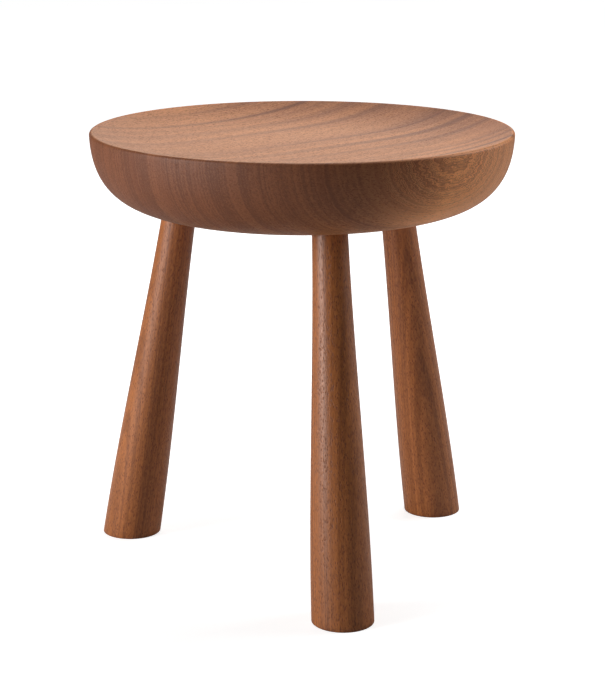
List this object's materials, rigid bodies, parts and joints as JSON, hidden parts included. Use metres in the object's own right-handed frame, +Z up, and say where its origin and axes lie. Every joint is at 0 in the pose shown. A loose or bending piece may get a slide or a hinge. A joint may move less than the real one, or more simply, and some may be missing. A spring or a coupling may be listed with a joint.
{
  "type": "stool",
  "caption": "Low round stool: a thick bowl-shaped seat with a shallow dished top on splayed turned legs, thick at the foot and slim at the neck, for sitting or as a side table.",
  "frame": {"origin": "on the floor, under the middle of the stool's overall box (6 mm in front of the seat's axis)", "axes": "+Z up, -Y towards the foot of the front leg, +X to the right as seen from that leg"},
  "size_m": [0.379, 0.3912, 0.4],
  "materials": {
    "seat_wood": "reddish brown mahogany-like hardwood, satin oiled",
    "leg_wood": "same hardwood, turned along the grain, satin oiled",
    "wedge_wood": "pale dense hardwood, planed, unfinished"
  },
  "bodies": {
    "root": {"seat": "seat_wood", "leg_front": "leg_wood", "leg_right": "leg_wood", "leg_left": "leg_wood", "wedge_front": "wedge_wood", "wedge_right": "wedge_wood", "wedge_left": "wedge_wood"}
  },
  "joints": []
}
